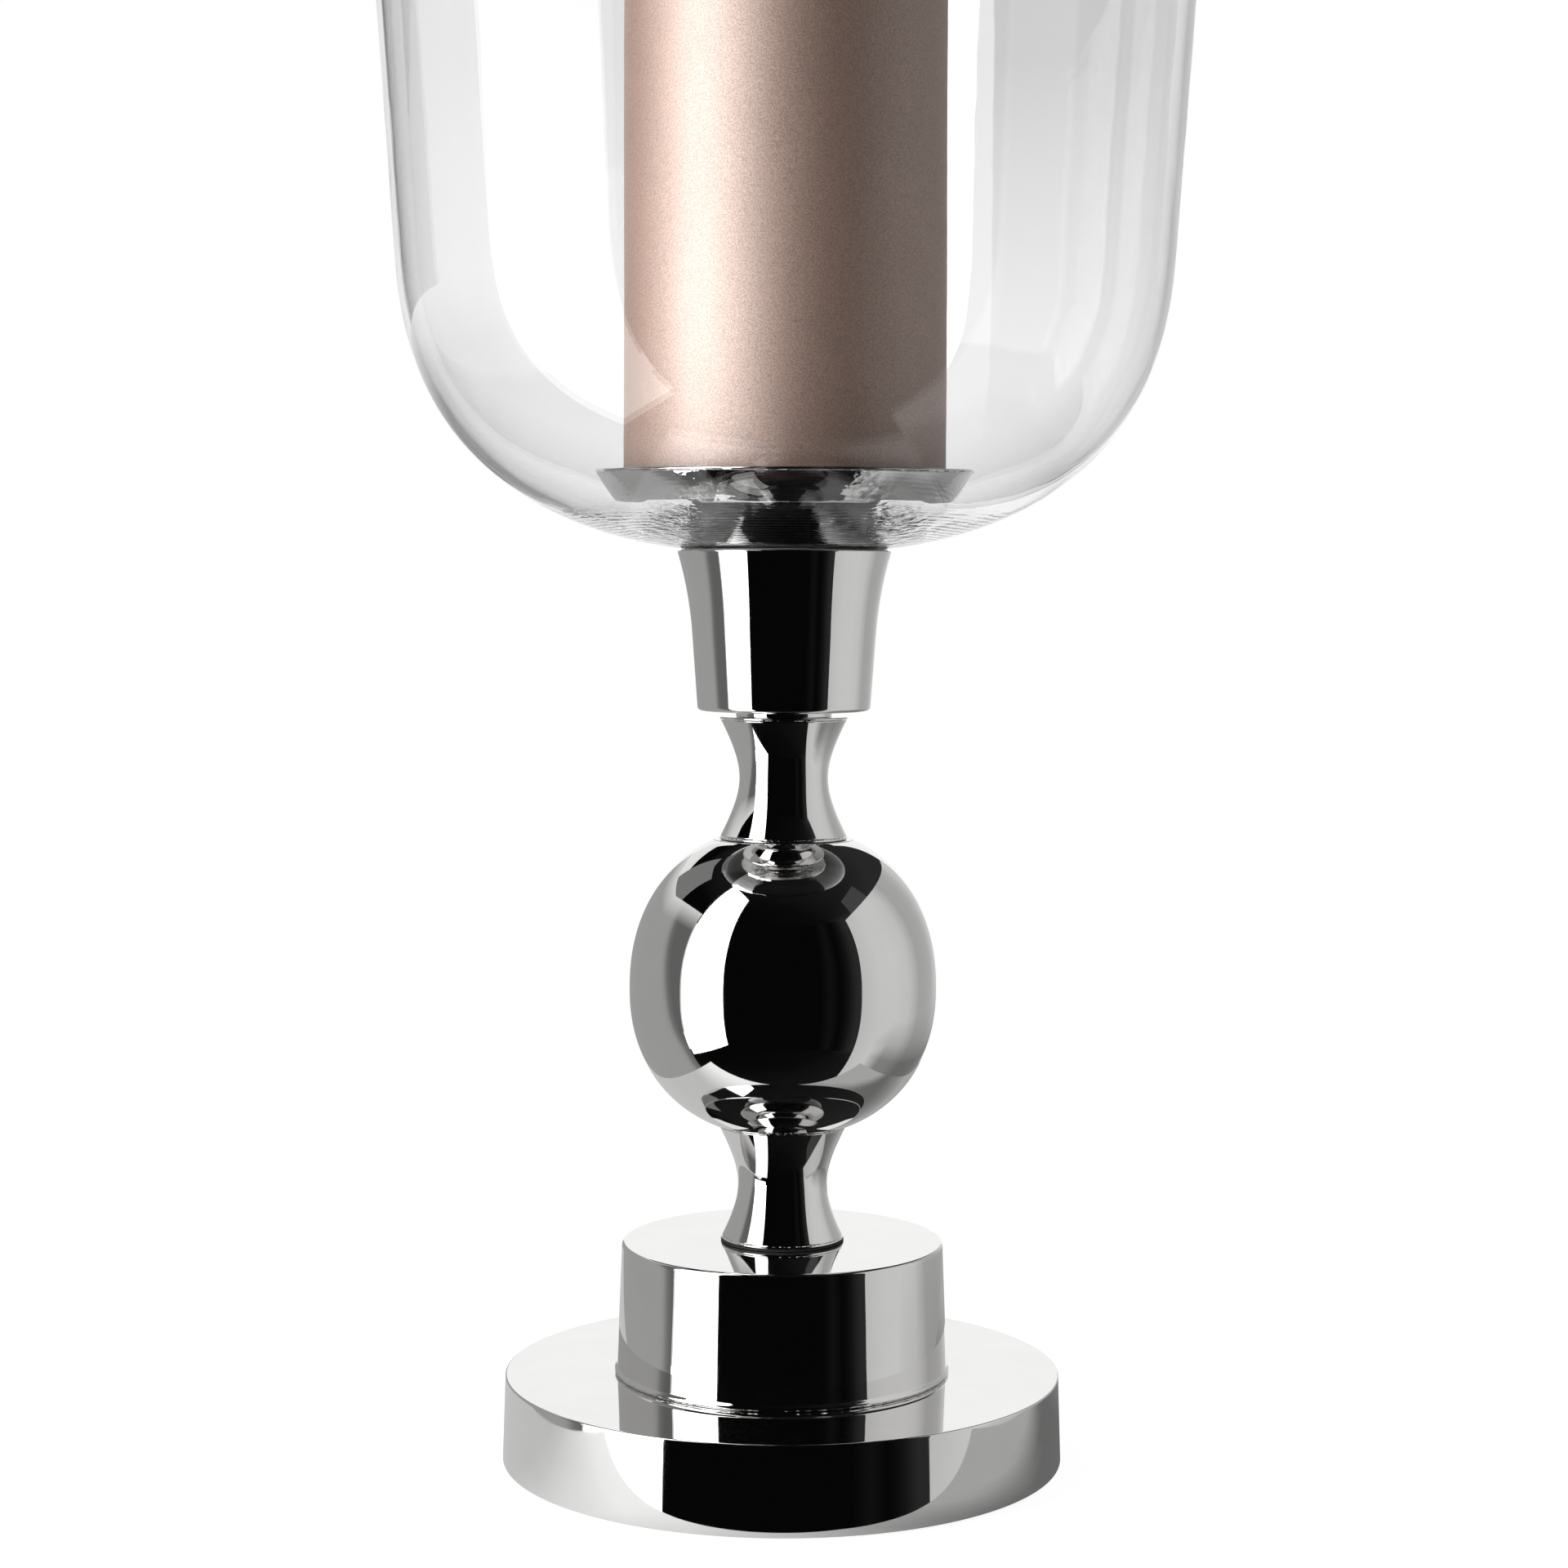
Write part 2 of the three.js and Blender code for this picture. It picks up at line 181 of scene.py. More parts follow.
def matt(nodes, grey):
    """A plain matt shader of one grey."""
    face = nodes.new("ShaderNodeBsdfDiffuse")
    face.inputs["Color"].default_value = (grey, grey, grey, 1)
    return face.outputs[0]


paper = glow("white_paper", paper_own)
nodes, links = paper.node_tree.nodes, paper.node_tree.links
paper_whole = nodes.new("ShaderNodeAddShader")
links.new(nodes["Emission"].outputs[0], paper_whole.inputs[0])
links.new(matt(nodes, paper_lit), paper_whole.inputs[1])
paper_seen = nodes.new("ShaderNodeMixShader")
links.new(seen_directly(nodes, links), paper_seen.inputs[0])
links.new(matt(nodes, paper_plain), paper_seen.inputs[1])
links.new(paper_whole.outputs[0], paper_seen.inputs[2])
split_rays(paper, deeper_than(nodes, links, "Glossy"), paper_seen.outputs[0], None)
floor_square = np.array([(-1, -1, 0), (1, -1, 0), (1, 1, 0), (-1, 1, 0)])
floor_corners = floor_square * floor_half - (0, 0, floor_drop)
floor_kinds = ("camera", "diffuse", "transmission", "shadow")
stage_sheet("floor", floor_corners, [(0, 1, 2, 3)], paper, floor_kinds)

# Strip light: an upright panel beyond the table's left edge, and a second one low behind it.
# It doesn't show straight through the glass. Matt surfaces see it brighter, and so does what
# stands inside the bowl, which sees nothing of its foot but one more panel beside it
strip_strength = 2.6
inside_gain = 2.7
inside_start = 80 * MM
inside_fade = 20 * MM
walls_crossed = 3.5
side_strength = 3.6


def grid_faces(rows, columns):
    """Four-cornered faces of a grid whose points are numbered row by row."""
    index = np.arange(rows * columns).reshape(rows, columns)
    faces = np.stack([index[:-1, :-1], index[:-1, 1:], index[1:, 1:], index[1:, :-1]], axis=-1)
    return faces.reshape(-1, 4).tolist()


def wall_along(plan, levels):
    """Corners and faces of an upright wall along a line of points, a row of corners a level."""
    corners = np.array([(x, y, level) for level in levels for x, y in plan], float)
    return corners, grid_faces(len(levels), len(plan))


def off_surface(nodes, links):
    """1 for rays off metal, off a matt surface or off the face of the glass, 0 for others."""
    mirrored = deeper_than(nodes, links, "Glossy")
    scattered = deeper_than(nodes, links, "Diffuse")
    return maths(nodes, links, "MAXIMUM", mirrored, scattered)


strip_corners, strip_faces = wall_along([(-266, -76), (-219, -247)], [-28, 640])
strip_glow = glow("strip_glow", strip_strength)
nodes, links = strip_glow.node_tree.nodes, strip_glow.node_tree.links
strip_place = nodes.new("ShaderNodeTexCoord")
strip_split = nodes.new("ShaderNodeSeparateXYZ")
links.new(strip_place.outputs["Object"], strip_split.inputs[0])
strip_scattered = deeper_than(nodes, links, "Diffuse")
strip_inside = deeper_than(nodes, links, "Transmission", walls_crossed)
strip_foot = between(nodes, links, strip_scattered, 0, strip_strength, 0, 1)
strip_top = strip_strength * inside_gain
inside_end = inside_start + inside_fade
strip_z = strip_split.outputs["Z"]
strip_rise = between(nodes, links, strip_z, strip_foot, strip_top, inside_start, inside_end)
strip_share = maths(nodes, links, "MAXIMUM", strip_inside, strip_scattered)
strip_level = between(nodes, links, strip_share, strip_strength, strip_rise, 0, 1)
links.new(strip_level, nodes["Emission"].inputs["Strength"])
split_rays(strip_glow, off_surface(nodes, links), None, nodes["Emission"].outputs[0])
lit_kinds = ("diffuse", "glossy", "transmission")
stage_sheet("strip_light", strip_corners, strip_faces, strip_glow, lit_kinds)
side_corners, side_faces = wall_along([(-219, -249), (-134, -301)], [90, 640])
side_glow = glow("side_glow", side_strength)
nodes, links = side_glow.node_tree.nodes, side_glow.node_tree.links
side_inside = deeper_than(nodes, links, "Transmission", walls_crossed)
side_share = maths(nodes, links, "MULTIPLY", side_inside, off_surface(nodes, links))
split_rays(side_glow, side_share, None, nodes["Emission"].outputs[0])
stage_sheet("side_light", side_corners, side_faces, side_glow, lit_kinds)
low_corners, low_faces = wall_along([(-445, -445), (-554, -283), (-609, -90)], [-200, -75])
low_glow = glow("low_strip_glow", strip_strength)
stage_sheet("low_strip", low_corners, low_faces, low_glow, ("glossy",))


def board(name, corners, faces, tones, mirrored=True):
    """A sheet with a brightness for each corner. If mirrored, it only shows in metal and on the
    face of the glass, and else only straight through the glass."""
    material = glow(name, 1)
    nodes, links = material.node_tree.nodes, material.node_tree.links
    tone = nodes.new("ShaderNodeAttribute")
    tone.attribute_name = "tone"
    links.new(tone.outputs["Fac"], nodes["Emission"].inputs["Strength"])
    shown = nodes["Emission"].outputs[0]
    before, after, kinds = (shown, None, ["transmission"])
    if mirrored:
        before, after, kinds = (None, shown, ["glossy", "transmission"])
    split_rays(material, deeper_than(nodes, links, "Glossy"), before, after)
    sheet = stage_sheet(name, corners, faces, material, kinds)
    values = sheet.data.attributes.new("tone", "FLOAT", "POINT")
    corner_tones = np.broadcast_to(tones, len(corners))
    values.data.foreach_set("value", np.ascontiguousarray(corner_tones, np.float32))


# Grey boards on the left: the near one is in shade beside the strip light, more so higher up
left_plan = [(-268 - 0.17 * (y + 70), y) for y in range(-70, 180, 20)] + [(-214, 370), (-191, 626)]
left_levels = [-1500, 0, 70, 140, 210, 280, 315, 350]
left_shade, left_light, left_top = 0.13, 0.355, 0.75
left_corners, left_faces = wall_along(left_plan, left_levels)
left_slant = left_corners[:, 1] - 0.3 * left_corners[:, 2].clip(0)
into_light = np.interp(left_slant, [-65, -20], [0, 1])
left_tone = left_shade + (left_light - left_shade) * into_light * into_light * (3 - 2 * into_light)
into_top = np.interp(left_corners[:, 2], [280, 350], [0, 1])
board("left_board", left_corners, left_faces, left_tone + (left_top - left_tone) * into_top)
far_left_corners, far_left_faces = wall_along([(-470, 171), (-400, 330), (-330, 400)], [0, 760])
board("far_left_board", far_left_corners, far_left_faces, 0.2)

# Pale board on the right, whose brightness changes along it and fades towards its foot
right_y = np.array([-500, -230, 0, 214, 373, 460, 700, 1000, 1430, 2300])
right_tone = np.array([0.56, 0.63, 0.64, 0.60, 0.48, 0.41, 0.42, 0.45, 0.55, 0.7])
right_levels = [-1500, -420, -240, -60, 893]
right_corners, right_faces = wall_along([(826, y) for y in right_y], right_levels)
foot_fade = np.interp(right_corners[:, 2], [-420, -240, -60], [0.38, 0.75, 1])
fade_share = np.interp(right_corners[:, 1], [-230, 0], [0, 1])
tones = np.tile(right_tone, len(right_levels)) * (1 - fade_share * (1 - foot_fade))
board("right_board", right_corners, right_faces, tones)
dim_corners, dim_faces = wall_along([(1000, -400), (1000, 150)], [800, 1430])
board("dim_board", dim_corners, dim_faces, 0.06)

# Pale wall far off on the left, which only the bowl shows: nearer boards hide it from the
# stand. Its near part stops higher up, over the strip light
pale_reach = 2400
pale_near_foot = 380


def arc_plan(turn_degrees, reach):
    """Points at one distance from the holder's axis. Their turns start at the camera's side."""
    turn_round = np.radians(turn_degrees)
    return reach * np.column_stack([np.sin(turn_round), -np.cos(turn_round)])


pale_plan = arc_plan([-60, -75, -77, -78, -100, -130, -165], pale_reach)
pale_corners, pale_faces = wall_along(pale_plan, [-1000, 1500])
pale_corners[:3, 2] = pale_near_foot
board("pale_wall", pale_corners, pale_faces, np.tile([1, 1, 0.75, 0.75, 0.75, 0.8, 0.9], 2))

# Grey card a little behind the holder, which only shows straight through the glass: it darkens
# the bowl's background towards the top, and more so on the right
card_y = 600
card_left = [1, 1, 0.97, 0.9, 0.8]
card_middle = [1, 0.97, 0.92, 0.87, 0.8]
card_right_start = [1, 0.86, 0.75, 0.62, 0.5]
card_right = [1, 0.87, 0.77, 0.65, 0.5]
card_plan = [(x, card_y) for x in (-260, 110, 111, 260)]
card_corners, card_faces = wall_along(card_plan, [300, 418, 481, 540, 900])
card_tones = np.column_stack([card_left, card_middle, card_right_start, card_right])
board("grey_card", card_corners, card_faces, card_tones.ravel(), mirrored=False)

# Table: the polished metal mirrors a small white table, whose front edge runs nearly straight
# across just before the base. Light falls on it from the left, so the stand's shade lies on
# its right half
table_left, table_right, table_back = -165, 172, 480
table_x, table_depth = np.meshgrid(np.linspace(table_left, table_right, 30), np.linspace(0, 1, 40))
table_front = np.interp(table_x, [table_left, 20, table_right], [-97, -96, -80])
table_y = table_front + table_depth * (table_back - table_front)
lit_tone = np.interp(table_y, [-87, -30], [1.02, 0.58])
table_plain, table_dark = 0.41, 0.15
shade_start = np.interp(table_y - table_x, [-157, -123], [0, 1])
in_shade = shade_start * np.interp(table_y, [50, 200], [1, 0])
shaded_tone = table_plain + (table_dark - table_plain) * in_shade
table_share = np.interp(table_x, [-60, 60], [0, 1])
table_tone = lit_tone + (shaded_tone - lit_tone) * table_share
table_corners = np.column_stack([table_x.ravel(), table_y.ravel(), np.zeros(table_x.size)])
board("table", table_corners, grid_faces(*table_x.shape), table_tone.ravel())

# Black cloth: hangs round the front and both sides, lies overhead and on the ground, and
# leaves the white room open only behind the table. A little light falls on its right end
cloth_reach = 2500
cloth_turn = np.linspace(-161, 161, 93)
cloth_corners, cloth_faces = wall_along(arc_plan(cloth_turn, cloth_reach), [-1500, 2200])
cover = list(range(len(cloth_turn)))
cloth_faces += [cover, [corner + len(cover) for corner in cover]]
cloth_tones = np.interp(cloth_turn, [28, 35, 42, 48, 56], [0.002, 0.006, 0.002, 0.005, 0.024])
board("black_cloth", cloth_corners, cloth_faces, np.tile(cloth_tones, 2))

# Felt pad: a disc of dark wool felt, stamped from sheet and glued into the recess under the
# base. Its faces are slightly uneven, as pressed wool is
felt_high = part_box("felt_pad")[1]


def loft(name, rings, bored):
    """Closed skin over rings of points in millimetres: point j of ring i meets point j + 1, and
    both meet the same points of ring i + 1. A bored piece's last ring meets its first. Otherwise a
    middle point shuts each end ring."""
    rows, columns = rings.shape[:2]
    index = np.arange(rows * columns).reshape(rows, columns)
    below, above = (index, np.roll(index, -1, 0)) if bored else (index[:-1], index[1:])
    quads = np.stack([below, np.roll(below, -1, 1), np.roll(above, -1, 1), above], axis=-1)
    faces = quads.reshape(-1, 4).tolist()
    points = rings.reshape(-1, 3)
    if not bored:
        start, end = index[0], index[-1]
        points = np.concatenate([points, rings[:1].mean(axis=1), rings[-1:].mean(axis=1)])
        middle = np.full(columns, len(points) - 2)
        faces += np.column_stack([np.roll(start, -1), start, middle]).tolist()
        faces += np.column_stack([end, np.roll(end, -1), middle + 1]).tolist()
    mesh = bpy.data.meshes.new(name)
    mesh.from_pydata((points * MM).tolist(), [], faces)
    mesh.shade_smooth()
    piece = bpy.data.objects.new(name, mesh)
    scene.collection.objects.link(piece)
    return piece


def full_turn(columns):
    """Angles spaced evenly round the axis."""
    return np.arange(columns) * 2 * math.pi / columns


def around(radius, angle, height):
    """Rings of points (r cos a, r sin a, z) at the given radii, angles and heights."""
    radius, angle, height = np.broadcast_arrays(radius, angle, height)
    return np.stack([radius * np.cos(angle), radius * np.sin(angle), height], axis=-1)


def turn(outline, columns):
    """Rings of a turned piece, whose outline is carried round the axis."""
    return around(outline[:, :1], full_turn(columns), outline[:, 1:2])


def edged(corners, steps=6, strut=0.35):
    """Outline through rows of (radius, height, rounding). A rounding of 0 keeps the point. Any
    other makes the corner an arc that is tangent to both its sides, tangent length = rounding x
    tan(half the turn). A straight side between two arcs gets a point close to each of them, which
    keeps its face flat."""
    corners = np.asarray(corners, float)
    place, rounding = corners[:, :2], corners[:, 2]
    into = place - np.roll(place, 1, 0)
    out = np.roll(place, -1, 0) - place
    into = into / np.maximum(np.linalg.norm(into, axis=1), 1e-9)[:, None]
    out = out / np.maximum(np.linalg.norm(out, axis=1), 1e-9)[:, None]
    cross = into[:, 0] * out[:, 1] - into[:, 1] * out[:, 0]
    bend = np.arctan2(cross, (into * out).sum(1))
    side = np.sign(bend)[:, None] * np.column_stack([-into[:, 1], into[:, 0]])
    bend = np.abs(bend)
    counts = np.where(rounding > 0, steps + 3, 1)
    which = np.repeat(np.arange(len(corners)), counts)
    step = np.arange(len(which)) - np.repeat(np.cumsum(counts) - counts, counts)
    share = np.clip((step - 1) / steps, 0, 1)[:, None]
    swept = share * bend[which, None]
    tangent = (rounding * np.tan(bend / 2))[which, None]
    arc = into[which] * np.sin(swept) + side[which] * (1 - np.cos(swept))
    outline = place[which] - into[which] * tangent + rounding[which, None] * arc
    rounded = rounding[which, None] > 0
    outline -= np.where(rounded & (step == 0)[:, None], into[which] * strut, 0)
    outline += np.where(rounded & (step == steps + 2)[:, None], out[which] * strut, 0)
    return outline


def kept_points(radii, heights):
    """Rows of points that edged keeps as they are."""
    return np.stack(np.broadcast_arrays(radii, heights, 0.0), axis=-1)


felt_rings = 60
felt_depth = 0.1
felt_radius = felt_high.x / MM
felt_top = felt_high.z / MM
felt_edge = 0.25
felt_radii = np.linspace(2, felt_radius - 0.2, felt_rings)
felt_outline = np.concatenate(
    [
        np.column_stack([felt_radii, np.zeros(felt_rings)]),
        [(felt_radius, felt_edge), (felt_radius, felt_top - felt_edge)],
        np.column_stack([felt_radii[::-1], np.full(felt_rings, felt_top)]),
    ]
)
felt_points = turn(felt_outline, 192)
felt_dents = np.random.default_rng(4).random(felt_points.shape[:2]) * felt_depth
felt_points[..., 2] += np.where(felt_points[..., 2] < felt_top / 2, felt_dents, -felt_dents)
felt_pad = loft("felt", felt_points, bored=False)


def finish_with(name, **values):
    """A material with one Principled shader, its sockets set as given, and Object coordinates."""
    material = bpy.data.materials.new(name)
    material.use_nodes = True
    nodes = material.node_tree.nodes
    shader = nodes["Principled BSDF"]
    for socket, value in values.items():
        shader.inputs[socket.replace("_", " ")].default_value = value
    place = nodes.new("ShaderNodeTexCoord")
    return material, nodes, material.node_tree.links, shader, place.outputs["Object"]


def noise(nodes, links, place, scale, detail=2.0, roughness=0.5):
    """Cloudy noise on the given coordinates, scale in clouds per metre."""
    texture = nodes.new("ShaderNodeTexNoise")
    texture.inputs["Scale"].default_value = scale
    texture.inputs["Detail"].default_value = detail
    texture.inputs["Roughness"].default_value = roughness
    links.new(place, texture.inputs["Vector"])
    return texture.outputs["Fac"]


def two_colours(nodes, links, value, first, second):
    """Mixes two colours by a value from 0 to 1."""
    mix = nodes.new("ShaderNodeMix")
    mix.data_type = "RGBA"
    mix.inputs["A"].default_value = (*first, 1)
    mix.inputs["B"].default_value = (*second, 1)
    links.new(value, mix.inputs["Factor"])
    return mix.outputs["Result"]


def mottled(nodes, links, shader, cloud, first, second, low=0.3, high=0.7):
    """Gives a surface the first colour where noise is low and the second where it is high."""
    share = between(nodes, links, cloud, 0, 1, low, high)
    links.new(two_colours(nodes, links, share, first, second), shader.inputs["Base Color"])


def bumped(nodes, links, shader, value, depth):
    """Raises the surface by a value from 0 to 1, depth in millimetres."""
    bump = nodes.new("ShaderNodeBump")
    bump.inputs["Distance"].default_value = depth * MM
    links.new(value, bump.inputs["Height"])
    links.new(bump.outputs[0], shader.inputs["Normal"])


wool, nodes, links, shader, place = finish_with("wool_felt", Roughness=0.95, Sheen_Weight=0.3)
fibres = noise(nodes, links, place, 900, detail=6, roughness=0.7)
mottled(nodes, links, shader, fibres, (0.012, 0.012, 0.014), (0.06, 0.06, 0.064))
bumped(nodes, links, shader, fibres, 0.3)


def fit_piece(piece, material, body, node):
    """Gives a piece its material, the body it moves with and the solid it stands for."""
    piece.data.materials.append(material)
    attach(piece, body)
    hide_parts(node)


fit_piece(felt_pad, wool, "stand", "felt_pad")

# Base disc: cast, turned and polished, then plated. Its side leans in a little. Below it is
# hollow round a boss, whose pocket takes the nut of the tie rod
base_low, base_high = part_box("base_disc")
base_foot = base_low.z / MM
base_radius = base_high.x / MM
spigot_height = 2
base_height = base_high.z / MM - base_foot - spigot_height
base_taper = 0.85
base_deck = 9
base_wall = 7
base_recess = 1.2
boss_radius = 20
pocket_radius = 12
pocket_top = base_recess + 11.5
bore = 4.3
felt_bed = felt_radius + 0.3
spigot_radius = 46.3
wide = 256


def bored_outline(corners, bottom, **how):
    """A bored piece's rounded outline, lifted to its place on the stand."""
    outline = edged(corners, **how)
    outline[:, 1] += bottom
    return outline


base_outline = bored_outline(
    [
        (bore, pocket_top, 0.2),
        (pocket_radius, pocket_top, 0.6),
        (pocket_radius, base_recess, 0.3),
        (boss_radius, base_recess, 0.5),
        (boss_radius, base_height - base_deck, 2),
        (base_radius - base_wall - base_taper, base_height - base_deck, 2),
        (base_radius - base_wall, base_recess, 0.3),
        (felt_bed, base_recess, 0.2),
        (felt_bed, 0, 0.2),
        (base_radius, 0, 0.5),
        (base_radius - base_taper, base_height, 0.45),
        (spigot_radius, base_height, 0.2),
        (spigot_radius, base_height + spigot_height, 0.3),
        (bore, base_height + spigot_height, 0.3),
    ],
    base_foot,
)
base = loft("base", turn(base_outline, wide), bored=True)


def polished(name, haze_scale):
    """Polished nickel plate: mirror bright, with a faint polishing haze, lines left by the turning,
    which run round the axis, and a surface that is very slightly uneven."""
    material, nodes, links, shader, place = finish_with(name, Metallic=1.0)
    haze = noise(nodes, links, place, haze_scale, detail=4)
    links.new(between(nodes, links, haze, 0.015, 0.05), shader.inputs["Roughness"])
    mottled(nodes, links, shader, haze, (0.86, 0.855, 0.845), (0.83, 0.825, 0.815))
    split = nodes.new("ShaderNodeSeparateXYZ")
    links.new(place, split.inputs[0])
    radius = nodes.new("ShaderNodeVectorMath")
    radius.operation = "LENGTH"
    flat = nodes.new("ShaderNodeCombineXYZ")
    links.new(split.outputs["X"], flat.inputs["X"])
    links.new(split.outputs["Y"], flat.inputs["Y"])
    links.new(flat.outputs[0], radius.inputs[0])
    along = nodes.new("ShaderNodeCombineXYZ")
    links.new(radius.outputs["Value"], along.inputs["X"])
    links.new(split.outputs["Z"], along.inputs["Z"])
    lines = noise(nodes, links, along.outputs[0], 1500, detail=2)
    waves = noise(nodes, links, place, 45, detail=1)
    line_share = 0.01
    uneven = maths(nodes, links, "MULTIPLY_ADD", lines, line_share, waves)
    bumped(nodes, links, shader, uneven, 0.05)
    return material


nickel = polished("nickel_plate", 60)
fit_piece(base, nickel, "stand", "base_disc")

# Tie rod: an M8 steel rod, plain in the middle and threaded at both ends, which clamps the
# whole stand between the nut in the base and the bowl holder
rod_low, rod_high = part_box("tie_rod")
rod_bottom = rod_low.z / MM
rod_top = rod_high.z / MM
rod_radius = 4
pitch = 1.25
thread_depth = 0.7
thread_crest = 0.15
thread_flank = 0.62
rod_thread_foot = 32
rod_thread_head = 26
rod_turn = full_turn(40)


def thread_cut(height, angle):
    """Share of the thread's full depth at a height and angle: a saw of two equal flanks once a
    pitch, cut flat at crest and root, shifted by the angle's share of a turn."""
    phase = (height / pitch - angle / (2 * math.pi)) % 1
    return np.clip((np.abs(2 * phase - 1) - thread_crest) / thread_flank, 0, 1)


def threaded(heights, depths, chamfer=0.7):
    """Rings of a threaded rod. Radius = the rod's, less depth x thread_cut or an end's chamfer."""
    ends = np.minimum(heights - heights[0], heights[-1] - heights)
    lead_in = np.clip(chamfer - ends, 0, None)[:, None]
    cut = depths[:, None] * thread_cut(heights[:, None], rod_turn)
    return around(rod_radius - np.maximum(cut, lead_in), rod_turn, heights[:, None])


fine = pitch / 7
rod_heights = np.concatenate(
    [
        np.arange(rod_bottom, rod_bottom + rod_thread_foot, fine),
        np.linspace(rod_bottom + rod_thread_foot, rod_top - rod_thread_head, 24)[:-1],
        np.arange(rod_top - rod_thread_head, rod_top, fine),
        [rod_top],
    ]
)
into_foot = rod_bottom + rod_thread_foot - rod_heights
into_head = rod_heights - rod_top + rod_thread_head
rod_depths = thread_depth * np.clip(np.maximum(into_foot, into_head) / pitch, 0, 1)
rod = loft("rod", threaded(rod_heights, rod_depths), bored=False)


def zinc_steel(name):
    """Zinc-plated steel: grey metal with cloudy spangle in its tone and gloss."""
    material, nodes, links, shader, place = finish_with(name, Metallic=1.0)
    cloud = noise(nodes, links, place, 260, detail=5)
    links.new(between(nodes, links, cloud, 0.26, 0.42), shader.inputs["Roughness"])
    mottled(nodes, links, shader, cloud, (0.52, 0.53, 0.55), (0.66, 0.66, 0.64))
    bumped(nodes, links, shader, cloud, 0.02)
    return material


zinc = zinc_steel("zinc_steel")
fit_piece(rod, zinc, "stand", "tie_rod")

# Nut: hexagonal, 13 mm across its flats, with both faces' corners chamfered by a cone and a
# threaded bore. It pulls the tie rod down inside the base
nut_low, nut_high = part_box("rod_nut")
nut_bottom = nut_low.z / MM
nut_top = nut_high.z / MM
nut_across = 13
nut_chamfer = 0.9
cone_slope = 1.6
nut_thread = 0.4
nut_angle = full_turn(96)
flat_reach = nut_across / 2 / np.cos(nut_angle % (math.pi / 3) - math.pi / 6)
nut_face = nut_across / 2 - 0.25
nut_under = np.linspace(nut_bottom, nut_bottom + nut_chamfer, 8)
nut_over = np.linspace(nut_top - nut_chamfer, nut_top, 8)
nut_sides = np.concatenate([nut_under, nut_over])
cone = nut_face + cone_slope * np.minimum(nut_sides - nut_bottom, nut_top - nut_sides)
nut_side_radius = np.minimum(flat_reach, cone[:, None])
nut_bore_heights = np.arange(nut_top, nut_bottom, -fine)
nut_bore_radius = bore + nut_thread * thread_cut(nut_bore_heights[:, None], nut_angle)
nut_radius = np.concatenate([nut_side_radius, nut_bore_radius])
nut_heights = np.concatenate([nut_sides, nut_bore_heights])
nut = loft("nut", around(nut_radius, nut_angle, nut_heights[:, None]), bored=True)
fit_piece(nut, zinc, "stand", "rod_nut")

# Spring washer: a split ring of hardened steel, whose ends stand a little apart in height.
# It lies on the nut and keeps it from working loose
spring_low, spring_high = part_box("lock_washer")
spring_outer = spring_high.y / MM
spring_split = 0.28
spring_rise = 0.3
spring_thick = 1.5
spring_corners = [
    (bore, 0, 0.3),
    (spring_outer, 0, 0.3),
    (spring_outer, spring_thick, 0.3),
    (bore, spring_thick, 0.3),
]
spring_section = edged(spring_corners, steps=4, strut=0.1)
spring_share = np.linspace(0, 1, 90)
spring_angle = spring_split / 2 + spring_share * (2 * math.pi - spring_split)
spring_z = spring_section[:, 1] + spring_low.z / MM + spring_rise * spring_share[:, None]
spring_rings = around(spring_section[:, 0], spring_angle[:, None], spring_z)
spring_washer = loft("spring_washer", spring_rings[::-1], bored=False)
fit_piece(spring_washer, zinc, "stand", "lock_washer")

# Flat washer: stamped from sheet steel, with edges rounded in the tumbling drum. It spreads
# the nut's pull over the base


def ring_piece(name, node, rounding, inner=bore, columns=128):
    """A flat ring with rounded edges, as wide and high as its node, bored to the inner radius."""
    low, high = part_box(node)
    outer, height = high.x / MM, (high.z - low.z) / MM
    places = [(inner, 0), (outer, 0), (outer, height), (inner, height)]
    corners = [(radius, level, rounding) for radius, level in places]
    return loft(name, turn(bored_outline(corners, low.z / MM, strut=0.05), columns), bored=True)


flat_washer = ring_piece("washer", "flat_washer", 0.35)
fit_piece(flat_washer, zinc, "stand", "flat_washer")

# Drum: a turned shell that leans in towards its top, centred on the base by a spigot, with a
# small bead rolled round its foot
drum_low, drum_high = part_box("drum")
drum_foot = drum_low.z / MM
drum_height = drum_high.z / MM - drum_foot
bead_radius = drum_high.x / MM
drum_radius = bead_radius - 0.7
drum_taper = 1.5
drum_wall = 5
drum_deck = 8
bead_height = 2
drum_outline = bored_outline(
    [
        (drum_radius - drum_wall, 0, 0.3),
        (bead_radius - 0.2, 0, 0.2),
        (bead_radius + 0.05, bead_height * 0.5, 0.8),
        (drum_radius, bead_height, 0.5),
        (drum_radius - drum_taper, drum_height, 1.2),
        (bore, drum_height, 0.2),
        (bore, drum_height - drum_deck, 0.3),
        (drum_radius - drum_wall - drum_taper, drum_height - drum_deck, 2),
    ],
    drum_foot,
)
drum = loft("drum_shell", turn(drum_outline, wide), bored=True)
fit_piece(drum, nickel, "stand", "drum")

# Fibre washer: a thin black ring that keeps the plated faces of drum and neck apart
fibre_ring = ring_piece("fibre_ring", "drum_washer", 0.15)


def black_rubber(name, grain, roughness, gloss=0.5):
    """Black fibre, rubber or plastic, matt and faintly mottled."""
    material, nodes, links, shader, place = finish_with(
        name, Roughness=roughness, Specular_IOR_Level=gloss
    )
    mottle = noise(nodes, links, place, grain, detail=4)
    mottled(nodes, links, shader, mottle, (0.008, 0.008, 0.008), (0.03, 0.03, 0.03))
    bumped(nodes, links, shader, mottle, 0.03)
    return material


fibre = black_rubber("vulcanised_fibre", 1200, 0.6)
fit_piece(fibre_ring, fibre, "stand", "drum_washer")

